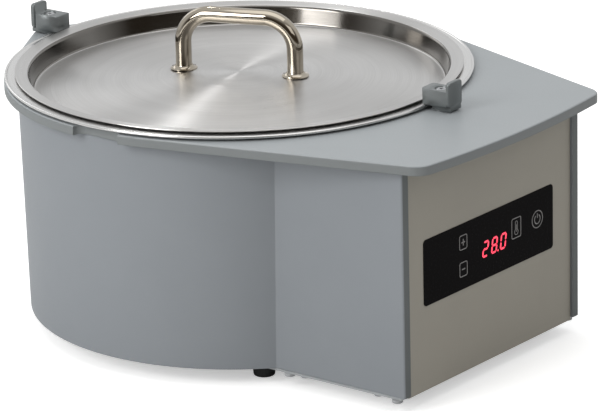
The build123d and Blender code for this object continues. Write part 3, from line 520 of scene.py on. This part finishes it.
def makeFloor(look):
    mesh = bpy.data.meshes.new("floor")
    far = look["half"]
    mesh.from_pydata([(-far, -far, 0), (far, -far, 0), (far, far, 0), (-far, far, 0)], [], [(0, 1, 2, 3)])
    floor = bpy.data.objects.new("floor", mesh)
    scene.collection.objects.link(floor)
    material, tree, surface = newMaterial("floorPaper")
    paper = placed(tree, mottleGroup, look["mottle"])
    seen = put(tree, "ShaderNodeLightPath").outputs["Is Camera Ray"]
    shade = look["shade"]
    warmer = opaque((shade, shade, look["warmth"] * shade))
    paperColour = mixColours(tree, paper["Value"], grey(shade), warmer)
    tree.links.new(mixColours(tree, seen, grey(look["bounce"]), paperColour), surface["Base Color"])
    surface["Roughness"].default_value = look["roughness"]
    surface["Specular IOR Level"].default_value = look["gloss"]
    tree.links.new(mixColours(tree, seen, grey(0), grey(look["glow"])), surface["Emission Color"])
    surface["Emission Strength"].default_value = 1.0
    mesh.materials.append(material)


makeCamera(cameraLook)
for lampName, lampLook in studioLook.items():
    makeSoftbox(lampName, lampLook)
makeSky(skyLook)
makeFloor(floorLook)
scene.view_settings.view_transform = "Standard"
print("camera, lights and floor placed")

finishes = {name: makeFinish(name, look) for name, look in finishLooks.items()}
finishes.update({name: makeTurnedSteel(name, look) for name, look in steelLooks.items()})
finishes["polishedSteel"] = makePolishedSteel("polishedSteel", polishedLook)
finishes["litSegments"] = makeLitSegments(litLook)

# geometry node trees

seamGap = 0.01 * mm          # points nearer than this are one point
meshGap = 0.002 * mm
spunSharp = 50               # degrees between faces that stay sharp
castSharp = 40
cornerSteps = 5


def newTree(name, inputs):
    tree = bpy.data.node_groups.new(name, "GeometryNodeTree")
    tree.interface.new_socket(name="Geometry", in_out="INPUT", socket_type="NodeSocketGeometry")
    for label, kind in inputs:
        tree.interface.new_socket(name=label, in_out="INPUT", socket_type=kind)
    tree.interface.new_socket(name="Geometry", in_out="OUTPUT", socket_type="NodeSocketGeometry")
    return tree, tree.nodes.new("NodeGroupInput").outputs


def closeTree(tree, given, geometry):
    real = put(tree, "GeometryNodeRealizeInstances", {0: geometry}).outputs[0]
    finished = put(tree, "GeometryNodeSetMaterial",
                   {"Geometry": real, "Material": given["Finish"]}).outputs[0]
    put(tree, "NodeGroupOutput", {"Geometry": finished})


def filleted(tree, line, radius, steps):
    return put(tree, "GeometryNodeFilletCurve",
               {"Curve": line, "Radius": radius, "Count": steps, "Limit Radius": True},
               mode="POLY").outputs[0]


def sweep(tree, line, section):
    return put(tree, "GeometryNodeCurveToMesh",
               {"Curve": line, "Profile Curve": section, "Fill Caps": True}).outputs[0]


def smoothed(tree, mesh):
    return put(tree, "GeometryNodeSetShadeSmooth", {"Geometry": mesh, "Shade Smooth": True}).outputs[0]


def countUp(tree, operation, first, second):
    return put(tree, "FunctionNodeIntegerMath", {0: first, 1: second}, operation=operation).outputs[0]


def makeSpunTree():
    # turns a chain of points, radius in X and height in Z, about an upright axis
    tree, given = newTree("spun", [("Middle", "NodeSocketVector"), ("Turns", "NodeSocketInt"),
                                   ("Points", "NodeSocketInt"), ("Finish", "NodeSocketMaterial")])
    columns = countUp(tree, "ADD", given["Turns"], 1)
    sheet = put(tree, "GeometryNodeMeshGrid",
                {"Vertices X": columns, "Vertices Y": given["Points"]}).outputs["Mesh"]
    index = put(tree, "GeometryNodeInputIndex").outputs[0]
    column = countUp(tree, "DIVIDE_FLOOR", index, given["Points"])
    row = countUp(tree, "MODULO", index, given["Points"])
    chain = put(tree, "GeometryNodeInputPosition").outputs[0]
    point = put(tree, "GeometryNodeSampleIndex",
                {"Geometry": given["Geometry"], "Value": chain, "Index": row},
                data_type="FLOAT_VECTOR", domain="POINT").outputs[0]
    share = calculate(tree, "DIVIDE", column, given["Turns"])
    angle = calculate(tree, "MULTIPLY", share, math.tau)
    turned = put(tree, "ShaderNodeVectorRotate", {"Vector": point, "Angle": angle},
                 rotation_type="Z_AXIS").outputs[0]
    moved = combine(tree, "ADD", turned, given["Middle"])
    spun = put(tree, "GeometryNodeSetPosition", {"Geometry": sheet, "Position": moved}).outputs[0]
    closed = put(tree, "GeometryNodeMergeByDistance", {"Geometry": spun, "Distance": seamGap}).outputs[0]
    closeTree(tree, given, smoothed(tree, closed))
    return tree


def makeRodTree():
    # a round rod along a chain of points with every corner bent
    tree, given = newTree("bentRod", [("Radius", "NodeSocketFloat"), ("Bend", "NodeSocketFloat"),
                                      ("Steps", "NodeSocketInt"), ("Sides", "NodeSocketInt"),
                                      ("Finish", "NodeSocketMaterial")])
    line = put(tree, "GeometryNodeMeshToCurve", {"Mesh": given["Geometry"]}).outputs[0]
    bent = filleted(tree, line, given["Bend"], given["Steps"])
    section = put(tree, "GeometryNodeCurvePrimitiveCircle",
                  {"Resolution": given["Sides"], "Radius": given["Radius"]}).outputs["Curve"]
    closeTree(tree, given, smoothed(tree, sweep(tree, bent, section)))
    return tree


def makeInkTree():
    # printed lines: a thin flat band along each chain of points, corners rounded, standing on an upright face
    tree, given = newTree("inkLines", [("Place", "NodeSocketVector"), ("Width", "NodeSocketFloat"),
                                       ("Depth", "NodeSocketFloat"), ("Corner", "NodeSocketFloat"),
                                       ("Finish", "NodeSocketMaterial")])
    line = put(tree, "GeometryNodeMeshToCurve", {"Mesh": given["Geometry"]}).outputs[0]
    rounded = filleted(tree, line, given["Corner"], cornerSteps)
    normal = put(tree, "GeometryNodeSetCurveNormal", {"Curve": rounded}, mode="Z_UP").outputs[0]
    section = put(tree, "GeometryNodeCurvePrimitiveQuadrilateral",
                  {"Width": given["Width"], "Height": given["Depth"]}).outputs["Curve"]
    band = sweep(tree, normal, section)
    stood = put(tree, "GeometryNodeTransform", {"Geometry": band, "Translation": given["Place"],
                                                "Rotation": (math.pi / 2, 0, 0)}).outputs[0]
    closeTree(tree, given, stood)
    return tree


spunTree = makeSpunTree()
rodTree = makeRodTree()
inkTree = makeInkTree()


def chainMesh(name, chains):
    # each chain is (points, closed); the points are joined one to the next
    points, edges = [], []
    for chain, closed in chains:
        first = len(points)
        points += [tuple(point) for point in chain]
        edges += [(first + i, first + i + 1) for i in range(len(chain) - 1)]
        if closed:
            edges.append((len(points) - 1, first))
    mesh = bpy.data.meshes.new(name + "Chain")
    mesh.from_pydata(points, edges, [])
    return mesh


def runTree(name, tree, chains, finish, body, **values):
    source = bpy.data.objects.new(name + "Source", chainMesh(name, chains))
    scene.collection.objects.link(source)
    modifier = source.modifiers.new(name, "NODES")
    modifier.node_group = tree
    values["Finish"] = finishes[finish]
    for item in tree.interface.items_tree:
        if item.in_out == "INPUT" and item.name in values:
            modifier[item.identifier] = values[item.name]
    bpy.context.view_layer.update()
    made = bpy.data.meshes.new_from_object(source.evaluated_get(bpy.context.evaluated_depsgraph_get()))
    source.modifiers.clear()
    bpy.data.objects.remove(source)
    made.name = name
    piece = bpy.data.objects.new(name, made)
    scene.collection.objects.link(piece)
    tidyMesh(made)
    made.materials.clear()
    made.materials.append(finishes[finish])
    for face in made.polygons:
        face.material_index = 0
    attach(piece, body)
    return piece


def tidyMesh(mesh):
    work = bmesh.new()
    work.from_mesh(mesh)
    bmesh.ops.remove_doubles(work, verts=work.verts, dist=meshGap)
    bmesh.ops.recalc_face_normals(work, faces=work.faces)
    work.to_mesh(mesh)
    work.free()


def softenSharp(mesh, degrees):
    mesh.set_sharp_from_angle(angle=math.radians(degrees))


# sections of the spun sheet pieces, in millimetres from the pan's axis

rimSteps = 16
flangeStep = 0.6             # where the flange gets one more ring of points


def cornerArc(before, corner, after, radius, steps):
    back = (before - corner).normalized()
    ahead = (after - corner).normalized()
    half = back.angle(ahead) / 2
    reach = radius / math.tan(half)
    middle = corner + (back + ahead).normalized() * radius / math.sin(half)
    start, end = corner + back * reach - middle, corner + ahead * reach - middle
    spread = start.angle_signed(end)
    turn = [Matrix.Rotation(-spread * i / steps, 2) for i in range(steps + 1)]
    return [middle + step @ start for step in turn]


def thickSection(line, thickness, rim):
    # the line runs from the axis to the rim; the way back follows its underside
    upper, lower = [], []
    for i, point in enumerate(line):
        along = (line[min(i + 1, len(line) - 1)] - line[max(i - 1, 0)]).normalized()
        across = Vector((-along.y, along.x)) * thickness / 2
        upper.append(point + across)
        lower.append(point - across)
    upper[0].x = lower[0].x = 0
    last = line[-1]
    first = math.asin(min(1, thickness / 2 / rim))
    outward = (line[-1] - line[-2]).normalized()
    facing = math.atan2(outward.y, outward.x)
    curl = []
    for i in range(rimSteps + 1):
        angle = facing + (math.pi - first) * (1 - 2 * i / rimSteps)
        curl.append(last + rim * Vector((math.cos(angle), math.sin(angle))))
    return upper[:-1] + curl + lower[-2::-1]


sheetLooks = {
    "lid": {"crown": 215.0975, "domeRadius": 166.0, "domeEdge": 205.76, "channelRadius": 176.3,
            "channelFloor": 204.601, "mouthRadius": 179.8, "mouthHeight": 221.4, "rimRadius": 190.6,
            "rimHeight": 222.55, "bend": 3.0, "thickness": 1.0, "rim": 0.5, "domeSteps": 40, "bendSteps": 8,
            "turns": 288, "wallSlope": 0.85, "wallPast": 1.5},
    "pan": {"rimRadius": 198.7, "flange": 219.9, "mouthRadius": 180.8, "floorRadius": 175.0, "floor": 97.0,
            "mouthBend": 3.0, "floorBend": 15.0, "thickness": 1.2, "rim": 1.3, "bendSteps": 8, "turns": 288,
            "floorRings": (0, 40, 80, 120, 150), "wallRings": (0.4, 0.7)},
}

handleLook = {"skew": 21.3, "reach": 50.0, "radius": 7.0, "foot": 215.1, "axisTop": 264.4, "bend": 26.0,
              "steps": 24, "sides": 40}

collarLook = {"radius": 11.6, "height": 3.4, "lip": 0.6, "neck": 0.6, "waist": (8.6, 216.4), "steps": 12,
              "turns": 64}


def lidSection(look):
    dome = []
    for i in range(look["domeSteps"] + 1):
        share = i / look["domeSteps"]
        height = look["crown"] - (look["crown"] - look["domeEdge"]) * share * share
        dome.append(Vector((look["domeRadius"] * share, height)))
    channel = Vector((look["channelRadius"], look["channelFloor"]))
    mouth = Vector((look["mouthRadius"], look["mouthHeight"]))
    rim = Vector((look["rimRadius"], look["rimHeight"]))
    line = dome + cornerArc(dome[-1], channel, mouth, look["bend"], look["bendSteps"])
    line += cornerArc(channel, mouth, rim, look["bend"], look["bendSteps"])
    line += [mouth.lerp(rim, flangeStep), rim]
    return thickSection(line, look["thickness"], look["rim"])


def panSection(look):
    floor = Vector((look["floorRadius"], look["floor"]))
    mouth = Vector((look["mouthRadius"], look["flange"]))
    rim = Vector((look["rimRadius"], look["flange"]))
    line = [Vector((x, look["floor"])) for x in look["floorRings"]]
    line += cornerArc(line[-1], floor, mouth, look["floorBend"], look["bendSteps"])
    line += [floor.lerp(mouth, share) for share in look["wallRings"]]
    line += cornerArc(floor, mouth, rim, look["mouthBend"], look["bendSteps"])
    line += [mouth.lerp(rim, flangeStep), rim]
    return thickSection(line, look["thickness"], look["rim"])


def makeSpunPiece(name, section, finish, body, turns, middle):
    chain = [(point.x * mm, 0, point.y * mm) for point in section]
    piece = runTree(name, spunTree, [(chain, False)], finish, body, Middle=middle, Turns=turns,
                    Points=len(chain))
    softenSharp(piece.data, spunSharp)
    return piece


def makeLid():
    look = sheetLooks["lid"]
    middle = (panMiddle.x, panMiddle.y, 0)
    lid = makeSpunPiece("spunLid", lidSection(look), "turnedSteel", "lid", look["turns"], middle)
    # the recess wall takes the darker copy of the steel, painted shade
    lid.data.materials.append(finishes["shadedWallSteel"])
    for face in lid.data.polygons:
        reach = math.hypot(face.center.x - panMiddle.x, face.center.y - panMiddle.y) / mm
        inWall = look["domeRadius"] < reach < look["mouthRadius"] + look["wallPast"]
        if abs(face.normal.z) < look["wallSlope"] and inWall:
            face.material_index = 1
    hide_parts("lid")


def makePan():
    look = sheetLooks["pan"]
    middle = (panMiddle.x, panMiddle.y, 0)
    pan = makeSpunPiece("spunPan", panSection(look), "panSteel", "bath", look["turns"], middle)
    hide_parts("pan")


def handlePlace(reach, height):
    turn = math.radians(handleLook["skew"])
    return Vector((panMiddle.x + reach * mm * math.sin(turn), panMiddle.y - reach * mm * math.cos(turn),
                   height * mm))


def makeHandle(look):
    reach, foot, top = look["reach"], look["foot"], look["axisTop"]
    corners = ((-reach, foot), (-reach, top), (reach, top), (reach, foot))
    chain = [handlePlace(*corner) for corner in corners]
    handle = runTree("bentHandle", rodTree, [(chain, False)], "polishedSteel", "lid",
                     Radius=look["radius"] * mm, Bend=look["bend"] * mm, Steps=look["steps"],
                     Sides=look["sides"])
    softenSharp(handle.data, spunSharp)
    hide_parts("handle")


def makeCollars(look):
    foot, bore = handleLook["foot"], handleLook["radius"]
    start = Vector((look["radius"], foot + look["lip"]))
    end = Vector((bore + look["neck"], foot + look["height"]))
    waist = Vector(look["waist"])
    flare = []
    for i in range(look["steps"] + 1):
        share = i / look["steps"]
        flare.append(start.lerp(waist, share).lerp(waist.lerp(end, share), share))
    section = [Vector((bore, foot)), Vector((look["radius"], foot))] + flare
    section += [Vector((bore, foot + look["height"])), Vector((bore, foot))]
    for index, side in enumerate((-1, 1)):
        place = handlePlace(side * handleLook["reach"], 0)
        collar = makeSpunPiece(f"flaredCollar{index + 1}", section, "polishedSteel", "lid", look["turns"],
                               place)
        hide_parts(f"handle_collar_{index + 1}")


# printing on the control face: lengths in millimetres, across and up; each key's lines ride on the key

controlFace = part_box("control_overlay")[0].y

inkLooks = {
    "plus": {"body": "plus_key", "place": (-38.0, 125.6), "size": (10.0, 12.0), "corner": 1.6, "line": 0.75,
             "across": 2.4, "upright": 2.8, "signLine": 1.1},
    "minus": {"body": "minus_key", "place": (-38.0, 102.4), "size": (10.0, 12.0), "corner": 1.6, "line": 0.75,
              "across": 2.2, "signLine": 1.1},
    "mode": {"body": "mode_key", "place": (35.1, 117.3), "size": (12.6, 17.2), "corner": 1.6, "line": 0.8,
             "bulb": 2.4, "bulbHeight": -3.6, "bulbGap": 35, "stem": 1.38, "stemFoot": -1.63, "stemTop": 5.8,
             "stemShoulder": 5.0, "stemTip": 0.9, "level": 2.8, "signLine": 0.7, "signSteps": 28},
    "power": {"body": "power_key", "place": (64.7, 116.4), "radius": 7.4, "line": 0.8,
              "ring": 3.9, "gap": 32, "barFoot": 1.0, "barTop": 5.0, "signLine": 0.9},
}
inkDepth = 0.08

digitLook = {"text": "280", "place": (4.6, 111.0), "height": 14.0, "width": 8.0, "pitch": 12.2, "bar": 1.7,
             "slant": 9.0, "gap": 0.25, "depth": 0.10, "root": 0.05, "dotInset": 1.4, "dotSteps": 12}


def circleChain(radius, start=0.0, end=360.0, steps=40, middle=(0.0, 0.0)):
    angles = [math.radians(start + (end - start) * i / steps) for i in range(steps + 1)]
    whole = end - start == 360
    points = [(middle[0] + radius * math.sin(a), middle[1] + radius * math.cos(a), 0) for a in angles]
    return (points[:-1] if whole else points, whole)


def boxChain(width, height):
    w, h = width / 2, height / 2
    return ([(-w, -h, 0), (w, -h, 0), (w, h, 0), (-w, h, 0)], True)


def stroke(*points):
    return ([(x, y, 0) for x, y in points], False)


def inkPiece(name, chains, look, line, corner=0.0):
    small = [([(x * mm, y * mm, 0) for x, y, z in points], closed) for points, closed in chains]
    x, z = look["place"]
    runTree(name, inkTree, small, "legendInk", look["body"],
            Place=(x * mm, controlFace - inkDepth / 2 * mm, z * mm),
            Width=line * mm, Depth=inkDepth * mm, Corner=corner * mm)


def levelStroke(look):
    return stroke((-look["across"], 0), (look["across"], 0))


def uprightStroke(look):
    return stroke((0, -look["upright"]), (0, look["upright"]))


def thermometer(look):
    # a round bulb below and a narrow stem above, with a mark inside
    middle = (0, look["bulbHeight"])
    bulb = circleChain(look["bulb"], look["bulbGap"], 360 - look["bulbGap"], look["signSteps"], middle)
    half = [(look["stem"], look["stemFoot"]), (look["stem"], look["stemShoulder"]),
            (look["stemTip"], look["stemTop"])]
    stem = stroke(*half, *((-x, y) for x, y in reversed(half)))
    return [bulb, stem, stroke(middle, (0, look["level"]))]


def makeLegends(looks):
    plus, minus, mode, power = (looks[name] for name in ("plus", "minus", "mode", "power"))
    for name in ("plus", "minus", "mode"):
        look = looks[name]
        inkPiece(name + "Outline", [boxChain(*look["size"])], look, look["line"], look["corner"])
    inkPiece("plusSign", [levelStroke(plus), uprightStroke(plus)], plus, plus["signLine"])
    inkPiece("minusSign", [levelStroke(minus)], minus, minus["signLine"])
    inkPiece("modeSign", thermometer(mode), mode, mode["signLine"])
    inkPiece("powerOutline", [circleChain(power["radius"])], power, power["line"])
    powerSign = [circleChain(power["ring"], power["gap"], 360 - power["gap"]),
                 stroke((0, power["barFoot"]), (0, power["barTop"]))]
    inkPiece("powerSign", powerSign, power, power["signLine"])


def segmentPoints(look):
    # the seven bars of a digit as (start, end), about the digit's middle
    w, h = look["width"] / 2 - look["bar"] / 2, look["height"] / 2 - look["bar"] / 2
    return {
        "top": ((-w, h), (w, h)), "middle": ((-w, 0), (w, 0)), "bottom": ((-w, -h), (w, -h)),
        "topLeft": ((-w, 0), (-w, h)), "topRight": ((w, 0), (w, h)),
        "lowLeft": ((-w, -h), (-w, 0)), "lowRight": ((w, -h), (w, 0)),
    }


litBars = {
    "2": ("top", "topRight", "middle", "lowLeft", "bottom"),
    "8": ("top", "topRight", "middle", "lowLeft", "bottom", "topLeft", "lowRight"),
    "0": ("top", "topRight", "lowLeft", "bottom", "topLeft", "lowRight"),
}


def barOutline(start, end, bar, gap):
    start, end = Vector(start), Vector(end)
    along = (end - start).normalized()
    side = Vector((-along.y, along.x)) * bar / 2
    start, end = start + along * gap, end - along * gap
    slope = along * bar / 2
    return [start, start + slope - side, end - slope - side, end, end - slope + side, start + slope + side]


def dotOutline(look):
    size = look["bar"] / 2
    x, y = look["pitch"] / 2 - look["dotInset"], -look["height"] / 2 + size
    angles = [math.tau * i / look["dotSteps"] for i in range(look["dotSteps"])]
    return [(x + size * math.cos(angle), y + size * math.sin(angle)) for angle in angles]


def makeDigits(look):
    work = bmesh.new()
    lean = math.tan(math.radians(look["slant"]))
    bars = segmentPoints(look)
    outlines = []
    for index, digit in enumerate(look["text"]):
        across = (index - 1) * look["pitch"]
        for name in litBars[digit]:
            outline = barOutline(*bars[name], look["bar"], look["gap"])
            outlines.append([(p.x + p.y * lean + across, p.y) for p in outline])
    outlines.append(dotOutline(look))
    x0, z0 = look["place"]
    front, back = controlFace - look["depth"] * mm, controlFace + look["root"] * mm
    for outline in outlines:
        near = [work.verts.new(((x0 + x) * mm, front, (z0 + z) * mm)) for x, z in outline]
        far = [work.verts.new(((x0 + x) * mm, back, (z0 + z) * mm)) for x, z in outline]
        work.faces.new(near)
        work.faces.new(list(reversed(far)))
        for i in range(len(near)):
            j = (i + 1) % len(near)
            work.faces.new((near[j], near[i], far[i], far[j]))
    bmesh.ops.recalc_face_normals(work, faces=work.faces)
    mesh = bpy.data.meshes.new("litDigits")
    work.to_mesh(mesh)
    work.free()
    mesh.materials.append(finishes["litSegments"])
    digits = bpy.data.objects.new("litDigits", mesh)
    scene.collection.objects.link(digits)
    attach(digits, "bath")


# edges sharper than sharp are rounded, and faces flatter than flat are joined first; round is the rounding
# asked for in millimetres, but the clamp on overlaps cuts it to about 0.01 at the short edges of this mesh
buttonLook = {"round": 1.7, "steps": 4, "sharp": 35.0, "flat": 2.0}


def makeRoundedButton(node, body, look):
    # a copy of the frame's own button, with its outer edges barely rounded
    work = bmesh.new()
    work.from_mesh(nodes[node].data)
    work.transform(nodes[node].matrix_world)
    bmesh.ops.remove_doubles(work, verts=work.verts, dist=seamGap)
    bmesh.ops.dissolve_limit(work, angle_limit=math.radians(look["flat"]), verts=work.verts, edges=work.edges)
    bmesh.ops.recalc_face_normals(work, faces=work.faces)
    limit = math.radians(look["sharp"])
    outer = [edge for edge in work.edges if edge.is_manifold and edge.is_convex]
    sharp = [edge for edge in outer if edge.calc_face_angle() > limit]
    bmesh.ops.bevel(work, geom=sharp, offset=look["round"] * mm, offset_type="OFFSET", segments=look["steps"],
                    profile=0.5, affect="EDGES", clamp_overlap=True)
    bmesh.ops.remove_doubles(work, verts=work.verts, dist=seamGap)
    bmesh.ops.triangulate(work, faces=work.faces)
    bmesh.ops.recalc_face_normals(work, faces=work.faces)
    mesh = bpy.data.meshes.new("rounded_" + node)
    work.to_mesh(mesh)
    work.free()
    mesh.shade_smooth()
    softenSharp(mesh, castSharp)
    mesh.materials.append(finishes["buttonMetal"])
    button = bpy.data.objects.new("rounded_" + node, mesh)
    scene.collection.objects.link(button)
    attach(button, body)
    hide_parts(node)


makeLid()
makePan()
makeRoundedButton("clamp_front", "front_button", buttonLook)
makeRoundedButton("clamp_rear", "rear_button", buttonLook)
makeHandle(handleLook)
makeCollars(collarLook)
print("spun and bent steel made")
makeLegends(inkLooks)
makeDigits(digitLook)
print("control printing made")

slotFinishes = {
    "housing": "housing", "plate": "plate", "turned_steel": "turnedSteel", "pan_steel": "panSteel",
    "polished_steel": "polishedSteel", "button_metal": "buttonMetal", "screw_steel": "screwSteel",
    "panel_paint": "panelPaint", "overlay_black": "overlayBlack", "key_black": "keyBlack",
    "display_window": "displayWindow", "base_metal": "baseMetal", "pad_grey": "padGrey",
    "foot_rubber": "footRubber", "seal_silicone": "sealSilicone", "heater_silicone": "heaterSilicone",
    "insulation_felt": "insulationFelt", "well_aluminium": "spunAluminium", "board_green": "boardGreen",
    "part_black": "partBlack", "core_iron": "coreIron", "can_blue": "canBlue", "pin_brass": "pinBrass",
}
nodeSlots = {part["node"]: part["material_slot"] for part in frame["record"]["subparts"]}
for nodeName, cadNode in nodes.items():
    finish = finishes[slotFinishes[nodeSlots[nodeName]]]
    if not cadNode.material_slots:
        cadNode.data.materials.append(finish)
    for place in cadNode.material_slots:
        place.material = finish
print("finishes given to the frame")
